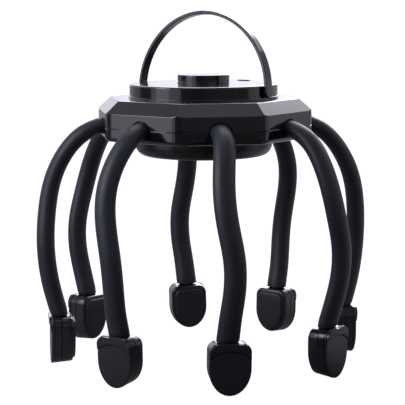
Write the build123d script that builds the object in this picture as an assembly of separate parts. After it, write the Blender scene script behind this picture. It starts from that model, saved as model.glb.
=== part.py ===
"""Hands-free electric scalp massager: an octagonal housing on eight soft arms.

Each arm leaves the middle of one flat of the housing, bulges outwards, comes back in and ends in
a flat vibrating head. A bail handle folds about the round cap, and one push button sits on top.

Millimetres, +Z up. The origin is on the surface the heads stand on, in the middle of their ring.
X is the handle's pivot axis. Arm 1 points along +X and the others follow anticlockwise.
"""

import math
import os

from build123d import *

# ------------------------------------------------------------------ housing
across_flats = 110.0  # octagon, flat to flat
corner_radius = 10.0  # rounding of the eight upright edges of the walls
parting_z = 128.9  # where the two shells meet
upper_band = 7.6  # wall above the parting line
lower_band = 6.9  # wall below it
wall_draft = 1.0  # degrees that both walls lean in, away from the parting line
shoulder_run = 6.9  # the sloped shoulder goes this far in
shoulder_rise = 6.4  # and this far up
shell_wall = 2.0
ridge_radius = 0.5  # soft edges round the shoulder and down its creases
brow_radius = 1.2  # rounding between the shoulder and the flat top
bottom_radius = 2.2  # rounding under the lower shell
joint_chamfer = 0.3  # makes the shadow line where two mouldings meet
tongue_height = 1.6  # lower shell's tongue inside the upper shell
tongue_wall = 1.0
top_opening = 24.5  # radius of the well through the upper shell
floor_opening = 25.0  # radius of the well through the lower shell

# ------------------------------------------------------------------ round cap
cap_radius = 39.7
cap_height = 7.5
cap_wall = 1.8
cap_edge = 0.9  # rounding of the cap's top rim
foot_lip = 0.6  # the thin foot ring under the cap stands out by this
foot_height = 1.2
cap_spigot = 1.6  # how far the cap reaches down into the upper shell
lens_length, lens_width, lens_depth = 7.2, 3.6, 2.6
lens_inset, lens_angle = 6.8, 83.5  # middle of the window, from the cap's wall inwards

# ------------------------------------------------------------------ button
button_radius = 13.9
button_height = 4.9  # above the cap
button_wall = 1.6
button_edge = 0.7
button_travel = 1.0
flange_reach, flange_thick = 1.6, 1.0  # rim that keeps the button in
stem_radius = 2.4

# ------------------------------------------------------------------ drum under the housing
drum_radius = 36.8
drum_height = 10.0
drum_wall = 2.0
drum_edge = 6.0  # large rounding of the lower rim
seat_ring_wall = 1.4  # ring of the lower shell that the drum pushes onto
seat_ring_height = 2.6

# ------------------------------------------------------------------ handle
handle_pivot_up = 3.6  # pivot axis above the foot of the cap
handle_gap = 0.9  # between the cap's wall and the bail
handle_thick = 1.9
handle_width = 5.4
handle_edge = 0.45
handle_lean = 4.0  # degrees that the bail leans back when it stands by itself
dimple_radius, dimple_depth = 0.4, 0.4  # moulding marks in the bail's front edge
dimples = ((1, 4.9), (1, 8.5), (-1, 7.1), (-1, 9.5))  # side, and height above the pivot
gate_length, gate_depth = 3.0, 0.25  # flat mark at the bail's top
pin_radius = 2.0
pin_past_wall = 1.0  # how far the pin shows inside the cap
pin_root = 0.2  # how far the pin is moulded into the bail

# ------------------------------------------------------------------ electronics
board_radius, board_thick = 23.5, 1.6
post_radius, post_orbit, post_turn = 2.2, 19.5, 30  # posts under the cap that carry the board
switch_side, switch_height = 6.0, 1.9
plunger_radius, plunger_height = 1.7, 0.6
chips = ((-9.0, 4.0, 7.0, 1.4), (10.0, -6.0, 4.5, 1.2))  # x, y, side, height
capacitors = ((6.0, 10.0, 2.5, 2.4), (-6.0, -11.0, 2.5, 2.4))  # x, y, radius, height
battery_size = (46.0, 32.0, 7.4)
cradle_wall, cradle_height = 1.2, 3.0
port_width, port_height, port_depth = 8.9, 3.2, 7.3
port_wall = 0.4
port_up = 3.8  # underside of the port above the drum's foot
screw_orbit, screw_turn = 30.0, 45  # screws that close the two shells
screw_radius, screw_head_radius, screw_head = 1.3, 2.4, 1.6
screw_bite = 6.0  # thread length in the upper shell
boss_radius = 3.2

# ------------------------------------------------------------------ arms
arm_count = 8
arm_half_width = 5.45  # oval section: across the arm
arm_half_thick = 4.3  # and through it
tip_half_width, tip_half_thick = 5.4, 4.0
root_drop = 0.1  # middle of the root under the parting line
arm_reach = 30.2  # widest point of the arm's centreline beyond the wall
arm_drop = 100.7  # from the root down to the head
arm_swirl = 3.5  # sideways swing of the S, at most
tip_back = 7.1  # the tip lies this far inside the widest point
root_dip = 15.0  # degrees that the arm points down where it leaves the wall
tip_lean = 16.0  # degrees that the arm still leans inwards where it meets the head
tip_slip = 4.0  # and sideways
# Centreline between root and tip, as shares of reach, swirl and drop.
arm_route = (
    (0.326, 0.01, 0.044),
    (0.661, -0.39, 0.156),
    (0.870, -0.57, 0.299),
    (0.965, -0.03, 0.449),
    (0.998, 0.79, 0.600),
    (0.962, 0.94, 0.752),
    (0.858, 0.56, 0.902),
)
arm_stations = 12  # sections that the arm is lofted through
# Each soft arm hangs with its own small lean, in degrees: outwards and sideways.
arm_leans = (
    (-0.4, 0.3),
    (0.0, -0.6),
    (-0.4, 1.2),
    (-0.2, -1.5),
    (1.1, 2.2),
    (0.9, -0.6),
    (-1.3, 0.1),
    (0.3, -1.2),
)
hole_side_gap = 0.3  # between arm and hole, beside the arm
hole_end_gap = 0.4  # above and below it
mouth_chamfer = 0.4
socket_gap = 0.35  # between the arm's round root and its socket
socket_block = (6.0, 15.0)  # radial and sideways size
socket_corner = 2.0

# ------------------------------------------------------------------ massage heads
head_width = 21.5
head_height = 26.6
head_belly = 13.7  # height of the half-oval lower part
head_corner = 4.7
head_thick = 11.8  # rim to rim
cover_depth = 5.5  # the seam lies this far behind the outer face
head_back = 1.0  # middle of the head, inside the arm's tip
head_side = 1.4  # and sideways
head_wall = 1.5
cover_edge = 0.5  # rounding of the outer cover's rim
inner_edge = 1.5  # and of the inner shell's
head_groove = 0.25  # shadow lines round the head
face_band = 1.6  # the first line lies this far behind the outer face
visor_drop = 3.7  # the raised visor ends this far under the head's top
visor_arc = 20.5  # radius of its lower edge
visor_top, visor_foot = 1.3, 0.7  # how far it stands proud, at the top and at its edge
pad_inset = 1.8  # contact pad inside the rim of the inner shell
pad_rise = 1.5  # how far the pad stands out
pad_depth = 1.0  # and how far it is let in
pad_edge = 1.1
motor_radius, motor_thick = 5.0, 3.4
motor_lid = 0.5  # stepped lid of the can
motor_up = 12.5  # above the head's lowest point
nest_wall, nest_height = 1.0, 1.6
plug_depth = 2.2  # how far the arm sinks into the head
neck_radius, neck_length = 2.4, 3.4

# ------------------------------------------------------------------ clearances
slide_gap = 0.30  # moving mouldings
seat_gap = 0.10  # mouldings that seat in each other
pin_gap = 0.05  # running fit of the handle's pins

# ------------------------------------------------------------------ heights that follow
root_z = parting_z - root_drop
wall_top_z = parting_z + upper_band
shoulder_z = wall_top_z + shoulder_rise
housing_foot_z = parting_z - lower_band
cap_top_z = shoulder_z + cap_height
cap_under_z = cap_top_z - cap_wall
button_top_z = cap_top_z + button_height
flange_top_z = cap_under_z - seat_gap
drum_foot_z = housing_foot_z - drum_height
drum_floor_z = drum_foot_z + drum_wall
pivot_z = shoulder_z + handle_pivot_up
apothem = across_flats / 2
foot_radius = cap_radius + foot_lip
handle_radius = cap_radius + handle_gap + handle_thick  # outside of the bail
lens_orbit = cap_radius - lens_inset
arm_tip_out = arm_reach - tip_back  # from the housing's wall to the tip
head_out = arm_tip_out - head_back  # and to the middle of the head


def at(z):
    """The horizontal plane at height z."""
    return Plane.XY.offset(z)


def disc(radius, z_low, z_high):
    """A solid upright cylinder between two heights."""
    return extrude(at(z_low) * Circle(radius), z_high - z_low)


def sharp_octagon(to_flat):
    """A regular octagon with a flat towards +X."""
    return RegularPolygon(to_flat, 8, major_radius=False, rotation=22.5)


def octagon(to_flat, corner=corner_radius):
    """The housing's outline: the same with rounded corners."""
    outline = sharp_octagon(to_flat)
    return fillet(outline.vertices(), corner)


def drafted(z, height, start):
    """A rounded octagonal block that narrows by the wall's draft, up or down from height z."""
    lean_in = abs(height) * math.tan(math.radians(wall_draft))
    return loft([at(z) * octagon(start), at(z + height) * octagon(start - lean_in)], ruled=True)


def roofed(inset=0.0):
    """The space under the sloped shoulder and its sharp creases, or the same drawn inset."""
    slope = shoulder_run / shoulder_rise
    eaves = apothem - upper_band * math.tan(math.radians(wall_draft)) - inset
    low = parting_z + upper_band / 2  # the slopes go on down to here, outside the wall
    high = shoulder_z - inset
    spread = eaves + (wall_top_z - low) * slope
    block = extrude(at(parting_z) * sharp_octagon(spread), low - parting_z)
    top = at(high) * sharp_octagon(eaves - (high - wall_top_z) * slope)
    return block + loft([at(low) * sharp_octagon(spread), top], ruled=True)


def edges_at(shape, z, reach=0.01):
    """Edges of a shape that lie wholly in the plane at height z."""
    return [
        edge
        for edge in shape.edges()
        if abs(edge.bounding_box().min.Z - z) < reach
        and abs(edge.bounding_box().max.Z - z) < reach
    ]


def outer_edges_at(shape, z, beyond):
    """Those of them that lie further out than a radius."""
    return [
        edge
        for edge in edges_at(shape, z)
        if math.hypot(edge.center().X, edge.center().Y) > beyond
    ]


def round_pattern(orbit, count, start=0.0):
    """Locations evenly spaced on a circle."""
    step = 360 / count
    return [Rot(0, 0, start + step * i) * Pos(orbit, 0, 0) for i in range(count)]


def placed(shape, locations):
    """Copies of a shape, one for each location, as a list."""
    return [location * shape for location in locations]


# ================================================================== arm, in its own frame
# Origin at the root pivot in the housing's wall, +X outwards, +Y sideways, +Z up.


def arm_line():
    """Centreline of an arm, from its root to where it meets the head."""
    points = [(0, 0, 0)]
    points += [
        (arm_reach * out, arm_swirl * side, -arm_drop * down) for out, side, down in arm_route
    ]
    points += [(arm_tip_out, head_side, -arm_drop)]
    dip, lean, slip = (math.radians(turn) for turn in (root_dip, tip_lean, tip_slip))
    start = (math.cos(dip), 0, -math.sin(dip))
    end = (-math.tan(lean), -math.tan(slip), -1)
    return Spline(*points, tangents=[start, end])


def across(line, share):
    """Plane square to the line at a share of its length, with its X axis across the arm."""
    forward = line % share
    side = Vector(0, 1, 0) - forward * forward.Y
    return Plane(origin=line @ share, x_dir=side, z_dir=forward)


def oval(half_width, half_thick, grow=0.0):
    return Ellipse(half_width + grow, half_thick + grow)


def root_ball(plane, grow=0.0):
    """Half-oval section of the arm's round root, ready to turn about the sideways axis."""
    upper = Rectangle(4 * arm_half_width, 4 * arm_half_thick, align=(Align.CENTER, Align.MIN))
    return plane * (oval(arm_half_width, arm_half_thick, grow) & upper)


def make_arm(line):
    """Soft arm: lofted oval, a root that is round about its pivot, and a plug in the head."""
    sections = []
    for station in range(arm_stations):
        share = station / (arm_stations - 1)
        late = max(0.0, (share - 0.75) / 0.25)
        half_width = arm_half_width + (tip_half_width - arm_half_width) * late
        half_thick = arm_half_thick + (tip_half_thick - arm_half_thick) * late
        sections.append(across(line, share) * oval(half_width, half_thick))
    arm = loft(sections)
    start = across(line, 0)
    root = revolve(root_ball(start), Axis(start.origin, start.x_dir), -180)
    end = across(line, 1)
    plug = extrude(end * oval(tip_half_width, tip_half_thick), plug_depth)
    neck = extrude(end.offset(plug_depth) * Circle(neck_radius), neck_length)
    return arm + root + plug + neck


def plug_space(line):
    """The pocket that the arm's plug and neck need in a head."""
    end = across(line, 1)
    lead_in = 8.0  # upwards, out of the head
    pocket = extrude(
        end.offset(-lead_in) * oval(tip_half_width, tip_half_thick, seat_gap),
        lead_in + plug_depth,
    )
    bore = extrude(end * Circle(neck_radius + seat_gap), plug_depth + neck_length + seat_gap)
    return pocket + bore


# ================================================================== head, in the arm's frame
head_foot = -root_z  # heads reach down to the origin's surface
head_top = head_foot + head_height
seam = head_thick / 2 - cover_depth  # where the two shells meet, from the head's middle


def head_outline(inset=0.0):
    """Front view of a head: half an oval below, a block with round shoulders above."""
    half = head_width / 2 - inset
    belly = head_belly - inset
    waist = head_foot + head_belly
    top = head_top - inset
    below = Pos(0, -belly) * Rectangle(2 * half, 2 * belly)
    lower = Pos(head_side, waist) * (Ellipse(half, belly) & below)
    block = Rectangle(2 * half, top - waist, align=(Align.CENTER, Align.MIN))
    shoulders = block.vertices().sort_by(Axis.Y)[-2:]
    block = fillet(shoulders, max(head_corner - inset, 0.5))
    return lower + Pos(head_side, waist) * block


def head_slab(x_low, x_high, inset=0.0):
    """The head's outline as a slab between two planes square to X, measured from its middle."""
    plane = Plane(origin=(head_out + x_low, 0, 0), x_dir=(0, 1, 0), z_dir=(1, 0, 0))
    return extrude(plane * head_outline(inset), x_high - x_low)


def rim_edges(shape, x):
    """Edges that lie in the plane at x from the head's middle."""
    return [
        edge
        for edge in shape.edges()
        if abs(edge.bounding_box().min.X - head_out - x) < 0.01
        and abs(edge.bounding_box().max.X - head_out - x) < 0.01
    ]


def head_hollow():
    """The space inside a head, shared by its two shells."""
    half = head_thick / 2
    return head_slab(-half + head_wall + pad_depth, half - head_wall, head_wall)


def make_outer_cover(line):
    """Outer half of a head, with the raised visor over its face."""
    half = head_thick / 2
    cover = head_slab(seam, half)
    # The visor: the outline above an arc, sloping out towards the top.
    crown = head_top - visor_drop
    face = Plane(origin=(head_out + half, 0, 0), x_dir=(0, 1, 0), z_dir=(1, 0, 0))
    above = head_outline() - Pos(head_side, crown - visor_arc) * Circle(visor_arc)
    above &= Pos(head_side, crown) * Rectangle(head_width, 2 * visor_arc)
    visor = extrude(face * above, visor_top)
    slope = math.atan2(visor_top - visor_foot, visor_drop)
    tip = Plane(
        origin=(head_out + half + visor_top, 0, head_top),
        x_dir=(0, 1, 0),
        z_dir=(math.cos(slope), 0, -math.sin(slope)),
    )
    spare = Pos(head_side, 0) * Rectangle(3 * head_width, 3 * head_width)
    visor -= extrude(tip * spare, 5 * visor_top)
    cover = fillet(rim_edges(cover, half), cover_edge) + visor
    cover = chamfer(rim_edges(cover, seam), head_groove)
    # A fine shadow line sets the face band off from the side wall.
    band = half - face_band
    groove = head_slab(band - head_groove, band + head_groove) - head_slab(
        band - head_groove, band + head_groove, head_groove
    )
    return cover - groove - head_hollow() - plug_space(line)


def motor_plane():
    """Inner floor of the inner shell, behind the contact pad, facing outwards."""
    floor = -head_thick / 2 + head_wall + pad_depth
    return Plane(
        origin=(head_out + floor, head_side, head_foot + motor_up), x_dir=(0, 1, 0), z_dir=(1, 0, 0)
    )


def make_inner_shell(line):
    """Inner half of a head: a tray for the motor, let in for the contact pad."""
    half = head_thick / 2
    shell = head_slab(-half, seam)
    shell = fillet(rim_edges(shell, -half), inner_edge)
    shell = chamfer(rim_edges(shell, seam), head_groove)
    shell -= head_hollow()
    shell -= head_slab(-half, -half + pad_depth, pad_inset - seat_gap)
    nest = extrude(motor_plane() * Circle(motor_radius + seat_gap + nest_wall), nest_height)
    nest -= extrude(motor_plane() * Circle(motor_radius + seat_gap), nest_height)
    return shell + nest - plug_space(line)


def make_contact_pad():
    """Soft pad that touches the scalp, with a well rounded rim."""
    half = head_thick / 2
    pad = head_slab(-half - pad_rise, -half + pad_depth, pad_inset)
    return fillet(rim_edges(pad, -half - pad_rise), pad_edge)


def make_motor():
    """Coin vibration motor: a can with a stepped lid."""
    can = extrude(motor_plane() * Circle(motor_radius), motor_thick - motor_lid)
    lid = motor_plane().offset(motor_thick - motor_lid) * Circle(motor_radius - motor_lid)
    lid = extrude(lid, motor_lid)
    return can + lid


def root_locations():
    """Where the eight arm roots stand in the housing's wall."""
    return [Rot(0, 0, 360 / arm_count * i) * Pos(apothem, 0, root_z) for i in range(arm_count)]


def arm_locations():
    """The same places with each arm's own lean."""
    places = []
    for i, root in enumerate(root_locations()):
        outwards, sideways = arm_leans[i % len(arm_leans)]
        places.append(root * Rot(sideways, -outwards, 0))
    return places


# ================================================================== housing


def arm_hole():
    """Oval hole through the wall, with an eased mouth and room for the arm's round root."""
    half_width = arm_half_width + hole_side_gap
    half_height = arm_half_thick + hole_end_gap
    wall = Plane.YZ
    hole = extrude(wall.offset(-shell_wall) * Ellipse(half_width, half_height), shell_wall + 1)
    hole += loft(
        [
            wall.offset(-mouth_chamfer) * Ellipse(half_width, half_height),
            wall.offset(mouth_chamfer)
            * Ellipse(half_width + 2 * mouth_chamfer, half_height + 2 * mouth_chamfer),
        ]
    )
    return hole + revolve(root_ball(Plane.YZ, socket_gap), Axis.Y, 360)


def make_upper_shell(holes):
    """Upper shell: drafted wall, sloped shoulder, flat top with a well, and screw bosses."""
    full = upper_band + shoulder_rise
    body = drafted(parting_z, full, apothem) & roofed()
    body = fillet(edges_at(body, shoulder_z), brow_radius)
    body = fillet(shoulder_edges(body), ridge_radius)
    body = chamfer(outer_edges_at(body, parting_z, 10), joint_chamfer)
    inner = drafted(parting_z, full, apothem - shell_wall)
    body -= inner & roofed(shell_wall)
    body -= disc(top_opening, shoulder_z - shell_wall, shoulder_z)
    spots = round_pattern(screw_orbit, 4, screw_turn)
    bosses = placed(disc(boss_radius, parting_z + seat_gap, shoulder_z - shell_wall), spots)
    pilots = placed(disc(screw_radius, parting_z, parting_z + screw_bite + seat_gap), spots)
    return body + bosses - pilots - holes


def shoulder_edges(body):
    """The edges along the top of the wall and the creases of the shoulder."""
    brow = shoulder_z - 2 * brow_radius
    return [
        edge
        for edge in body.edges()
        if edge.center().Z > wall_top_z - 0.01 and edge.bounding_box().min.Z < brow
    ]


def make_lower_shell(holes):
    """Lower shell: rounded tray with a tongue, a ring for the drum and four screw pillars."""
    body = drafted(parting_z, -lower_band, apothem)
    body = fillet(outer_edges_at(body, housing_foot_z, 10), bottom_radius)
    body = chamfer(outer_edges_at(body, parting_z, 10), joint_chamfer)
    depth = lower_band - shell_wall
    body -= drafted(parting_z, -depth, apothem - shell_wall)
    tongue_out = apothem - shell_wall - seat_gap
    foot = housing_foot_z + shell_wall
    tongue = drafted(parting_z, -depth, apothem - shell_wall)
    tongue += extrude(at(parting_z) * octagon(tongue_out), tongue_height)
    tongue -= extrude(at(foot) * octagon(tongue_out - tongue_wall), lower_band + tongue_height)
    body += tongue
    ring_out = drum_radius - drum_wall - seat_gap
    ring = disc(ring_out, housing_foot_z - seat_ring_height, housing_foot_z)
    ring -= disc(ring_out - seat_ring_wall, housing_foot_z - seat_ring_height, housing_foot_z)
    body += ring
    body -= disc(floor_opening, housing_foot_z, housing_foot_z + shell_wall)
    spots = round_pattern(screw_orbit, 4, screw_turn)
    body += placed(disc(boss_radius, housing_foot_z, parting_z), spots)
    body -= placed(disc(screw_radius + seat_gap, housing_foot_z, parting_z), spots)
    body -= placed(disc(screw_head_radius + seat_gap, housing_foot_z, housing_foot_z + screw_head), spots)
    return body - holes


def make_shell_screws():
    """Four screws from below, through the lower shell's pillars into the upper shell's bosses."""
    seat = housing_foot_z + screw_head
    shank = disc(screw_radius, seat, parting_z + screw_bite)
    head = disc(screw_head_radius, housing_foot_z + 0.2, seat)
    slot = extrude(at(housing_foot_z + 0.2) * RegularPolygon(1.1, 6), 0.9)
    return Compound(placed(shank + head - slot, round_pattern(screw_orbit, 4, screw_turn)))


def make_arm_sockets():
    """Eight cups behind the wall, each round about its arm's pivot."""
    floor = housing_foot_z + shell_wall + 0.05
    radial, sideways = socket_block
    inner_face = -shell_wall - tongue_wall - seat_gap - 0.05
    height = 2 * (root_z - floor)
    block = Pos(inner_face - radial / 2, 0, 0) * Box(radial, sideways, height)
    block = fillet(block.edges().filter_by(Axis.X), socket_corner)
    block -= revolve(root_ball(Plane.YZ, socket_gap), Axis.Y, 360)
    return Compound(placed(block, root_locations()))


def lens_place():
    """Location of the indicator window on the cap."""
    return Rot(0, 0, lens_angle) * Pos(lens_orbit, 0, 0)


def window(gap):
    return SlotOverall(lens_length + 2 * gap, lens_width + 2 * gap, rotation=90)


def make_top_cap():
    """Round cap on a thin foot ring, with the button's opening, the window and board posts."""
    body = disc(cap_radius, shoulder_z, cap_top_z)
    body = fillet(edges_at(body, cap_top_z), cap_edge)
    foot = disc(foot_radius, shoulder_z, shoulder_z + foot_height)
    foot = fillet(edges_at(foot, shoulder_z + foot_height), 0.3)
    body += foot
    body -= disc(cap_radius - cap_wall, shoulder_z, cap_under_z)
    spigot = disc(top_opening - seat_gap, shoulder_z - cap_spigot, cap_under_z)
    spigot -= disc(top_opening - seat_gap - cap_wall, shoulder_z - cap_spigot, cap_under_z)
    body += spigot
    board_top = shoulder_z - cap_spigot - 0.9
    body += placed(disc(post_radius, board_top, cap_under_z), round_pattern(post_orbit, 3, post_turn))
    body -= disc(button_radius + slide_gap, cap_under_z, cap_top_z)
    pins = Plane.YZ.offset(-foot_radius - 1) * Pos(0, pivot_z) * Circle(pin_radius + pin_gap)
    body -= extrude(pins, 2 * foot_radius + 2) - disc(top_opening, shoulder_z - 5, cap_top_z)
    body -= extrude(at(cap_under_z - 2) * lens_place() * window(seat_gap), cap_wall + 3)
    return body


def make_indicator_lens():
    """Flush window with a lip behind the cap."""
    lens = extrude(at(cap_top_z - lens_depth) * lens_place() * window(0), lens_depth - 0.15)
    lip = extrude(at(cap_top_z - lens_depth) * lens_place() * window(0.8),
                  lens_depth - cap_wall - 0.05)
    return lens + lip


def make_button():
    """Push button: a shallow cup with a retaining flange and a stem for the switch."""
    foot = flange_top_z - flange_thick
    body = disc(button_radius, foot, button_top_z)
    body = fillet(edges_at(body, button_top_z), button_edge)
    body += disc(button_radius + flange_reach, foot, flange_top_z)
    body -= disc(button_radius - button_wall, foot, button_top_z - button_wall)
    body += disc(stem_radius, stem_foot_z(), button_top_z - button_wall)
    for turn in (0, 90):
        rib = Rot(0, 0, turn) * Box(2 * (button_radius - button_wall), 1.0, 3.0)
        body += Pos(0, 0, button_top_z - button_wall - 1.5) * rib
    return body


def board_top_z():
    return shoulder_z - cap_spigot - 0.9


def stem_foot_z():
    return board_top_z() + switch_height + plunger_height + button_travel + seat_gap


def make_control_board():
    """Round circuit board with a driver chip and a few tall parts on its underside."""
    top = board_top_z()
    board = disc(board_radius, top - board_thick, top)
    under = top - board_thick
    for x, y, side, tall in chips:
        board += Pos(x, y, under) * Box(side, side, tall, align=(Align.CENTER, Align.CENTER, Align.MAX))
    for x, y, radius, tall in capacitors:
        board += disc(radius, under - tall, under).moved(Location((x, y, 0)))
    return board


def make_tact_switch():
    """Tactile switch on the board, under the button's stem."""
    top = board_top_z()
    body = extrude(at(top) * Rectangle(switch_side, switch_side), switch_height)
    return body + disc(plunger_radius, top + switch_height, top + switch_height + plunger_height)


def port_frame():
    """Plane of the charging port's mouth, on the back of the drum, facing +Y."""
    return Plane(
        origin=(0, drum_radius, drum_foot_z + port_up + port_height / 2),
        x_dir=(-1, 0, 0),
        z_dir=(0, 1, 0),
    )


def make_base_drum():
    """Round drum under the housing: a cup with a large rounding, a battery cradle and a port."""
    body = disc(drum_radius, drum_foot_z, housing_foot_z)
    body = fillet(edges_at(body, drum_foot_z), drum_edge)
    body = chamfer(outer_edges_at(body, housing_foot_z, -1), joint_chamfer)
    hollow = disc(drum_radius - drum_wall, drum_floor_z, housing_foot_z)
    body -= fillet(edges_at(hollow, drum_floor_z), drum_edge - drum_wall)
    long, wide, _ = battery_size
    gap = seat_gap + 0.1
    cradle = Rectangle(long + 2 * (gap + cradle_wall), wide + 2 * (gap + cradle_wall))
    cradle -= Rectangle(long + 2 * gap, wide + 2 * gap)
    cradle -= Rectangle(long * 0.6, 2 * wide)  # open in the middle of the long sides
    body += extrude(at(drum_floor_z) * cradle, cradle_height)
    shelf_top = drum_foot_z + port_up - seat_gap
    shelf_back = drum_radius - drum_wall
    shelf = Box(port_width, port_depth, shelf_top - drum_floor_z + 0.5,
                align=(Align.CENTER, Align.MAX, Align.MAX))
    body += Pos(0, shelf_back, shelf_top) * shelf
    mouth = SlotOverall(port_width + 2 * seat_gap, port_height + 2 * seat_gap)
    body -= extrude(port_frame().offset(-port_depth - seat_gap) * mouth, port_depth + 2)
    return body


def make_charging_port():
    """Metal socket with its contact tongue, flush with the drum's wall."""
    mouth = port_frame().offset(-drum_wall / 2 - port_depth)
    shell = extrude(mouth * SlotOverall(port_width, port_height), port_depth)
    inner = SlotOverall(port_width - 2 * port_wall, port_height - 2 * port_wall)
    shell -= extrude(mouth.offset(1.0) * inner, port_depth)
    tongue = extrude(mouth.offset(1.0) * Rectangle(port_width - 2.4, 0.7), port_depth - 2.0)
    return shell + tongue


def make_battery():
    """Flat pouch cell lying in the drum's cradle."""
    long, wide, tall = battery_size
    cell = Pos(0, 0, drum_floor_z) * Box(long, wide, tall, align=(Align.CENTER, Align.CENTER, Align.MIN))
    return fillet(cell.edges().filter_by(Axis.X), 1.5)


def make_handle():
    """Bail: half a ring of flat strip with round ends and a stub pin inside each of them."""
    inner = handle_radius - handle_thick
    half_width = handle_width / 2
    leg = Rectangle(handle_thick, half_width, align=(Align.MAX, Align.MAX))
    arch = Circle(handle_radius) - Circle(inner)
    arch &= Rectangle(2 * handle_radius, handle_radius, align=(Align.CENTER, Align.MIN))
    arch += Pos(handle_radius, 0) * leg + Pos(-inner, 0) * leg
    front = Plane(origin=(0, half_width, pivot_z), x_dir=(1, 0, 0), z_dir=(0, -1, 0))
    side_view = Circle(half_width)
    side_view += Rectangle(handle_width, handle_radius, align=(Align.CENTER, Align.MIN))
    end = Plane.YZ.offset(-handle_radius) * Pos(0, pivot_z) * side_view
    bail = extrude(front * arch, handle_width) & extrude(end, 2 * handle_radius)
    bail = fillet(bail.edges().filter_by(lambda edge: edge.length > half_width), handle_edge)
    pin_end = cap_radius - cap_wall - pin_past_wall
    length = inner + pin_root - pin_end
    for start in (-inner - pin_root, pin_end):
        bail += extrude(Plane.YZ.offset(start) * Pos(0, pivot_z) * Circle(pin_radius), length)
    edge_middle = handle_radius - handle_thick / 2
    for side, rise in dimples:
        out = side * math.sqrt(edge_middle**2 - rise**2)
        mark = Plane(origin=(out, -half_width, pivot_z + rise), z_dir=(0, 1, 0))
        bail -= extrude(mark * Circle(dimple_radius), dimple_depth)
    top = pivot_z + handle_radius
    gate = Pos(0, -half_width, top) * Box(gate_length, 2 * gate_depth, 4 * handle_thick)
    bail -= gate
    return bail.rotate(Axis((0, 0, pivot_z), (1, 0, 0)), -handle_lean)


def write(name, shape):
    export_step(shape, f"parts/{name}.step")


def main():
    os.makedirs("parts", exist_ok=True)
    holes = placed(arm_hole(), root_locations())
    write("upper_shell", make_upper_shell(holes))
    write("lower_shell", make_lower_shell(holes))
    write("shell_screws", make_shell_screws())
    write("arm_sockets", make_arm_sockets())
    write("top_cap", make_top_cap())
    write("indicator_lens", make_indicator_lens())
    write("power_button", make_button())
    write("control_board", make_control_board())
    write("tact_switch", make_tact_switch())
    write("base_drum", make_base_drum())
    write("charging_port", make_charging_port())
    write("battery", make_battery())
    write("carry_handle", make_handle())

    line = arm_line()
    pieces = {
        "arm_{}": make_arm(line),
        "head_{}_outer_cover": make_outer_cover(line),
        "head_{}_inner_shell": make_inner_shell(line),
        "head_{}_contact_pad": make_contact_pad(),
        "head_{}_motor": make_motor(),
    }
    for number, place in enumerate(arm_locations(), start=1):
        for name, shape in pieces.items():
            write(name.format(number), place * shape)


main()
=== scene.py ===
# %% [markdown]
# # A hands-free scalp massager in Blender
#
# Eight soft silicone arms hang from an octagonal housing, and each carries a small vibrating
# head. The hard mouldings come ready from the CAD model. What is left for Blender is the light,
# the finishes and the pieces that are soft or finely moulded: the arms, the heads with their
# contact pads, and the small window in the cap.
#
# Every length is in metres and every piece stands where the CAD model has it, so nothing is
# fitted by eye. The first cell loads that model as a fixed frame. Its nodes are never moved or
# changed: a node either gets a better finish, or a new piece stands for it.

# %% Load the fixed frame
import math

import bpy
import numpy as np
from mathutils import Matrix, Vector


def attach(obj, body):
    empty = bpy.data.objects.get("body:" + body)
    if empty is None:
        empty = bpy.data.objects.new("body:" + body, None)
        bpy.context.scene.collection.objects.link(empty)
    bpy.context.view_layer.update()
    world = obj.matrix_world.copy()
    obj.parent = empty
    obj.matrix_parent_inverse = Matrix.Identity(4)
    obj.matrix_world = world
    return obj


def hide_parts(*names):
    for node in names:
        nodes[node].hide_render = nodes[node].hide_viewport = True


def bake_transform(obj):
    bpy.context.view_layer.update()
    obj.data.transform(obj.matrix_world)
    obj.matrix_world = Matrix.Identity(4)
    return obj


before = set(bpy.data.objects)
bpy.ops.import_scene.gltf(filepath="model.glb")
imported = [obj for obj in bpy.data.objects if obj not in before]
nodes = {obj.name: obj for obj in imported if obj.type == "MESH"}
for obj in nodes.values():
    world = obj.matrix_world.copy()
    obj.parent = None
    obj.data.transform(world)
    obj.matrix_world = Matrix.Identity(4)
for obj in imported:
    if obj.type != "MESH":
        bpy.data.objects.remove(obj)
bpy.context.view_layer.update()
mm = 0.001

# %% [markdown]
# ## The camera
#
# A camera can be dragged about until the view looks right, but its place and line of sight are
# easier to keep and to repeat as numbers. A long lens keeps the eight arms from looking splayed.
# The camera stands above the heads and looks slightly down, so that the top of the round cap is
# seen at a very flat angle. Its axes are worked out from the line of sight and a roll of a third
# of a degree.

# %% Camera
eye = Vector((0.47094, -0.64670, 0.19788))
sight = Vector((-0.58383, 0.79992, -0.13884)).normalized()
roll = math.radians(-0.29)
film_width, lens_length, farthest = 36.0, 132.3, 50.0  # millimetres, millimetres, metres

level = sight.cross(Vector((0, 0, 1))).normalized()
upright = level.cross(sight)
across_view = level * math.cos(roll) + upright * math.sin(roll)
up_view = upright * math.cos(roll) - level * math.sin(roll)

bpy.ops.object.camera_add()
camera = bpy.context.object
camera.name = "camera"
turned = Matrix((across_view, up_view, -sight)).transposed().to_4x4()
camera.matrix_world = Matrix.Translation(eye) @ turned
camera.data.sensor_width = film_width
camera.data.lens = lens_length
camera.data.clip_end = farthest
bpy.context.scene.camera = camera
bpy.context.scene.view_settings.view_transform = "Standard"
print("the camera is", round(eye.length, 2), "m from the origin")

# %% [markdown]
# ## Shader maths
#
# Nodes can be added and linked one by one, but a finish is easier to read as a formula than as a
# web of links. The class below wraps one output of a shader node. Adding or multiplying two of
# them adds the Math node that does it, and one method adds every other kind of node.


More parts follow.
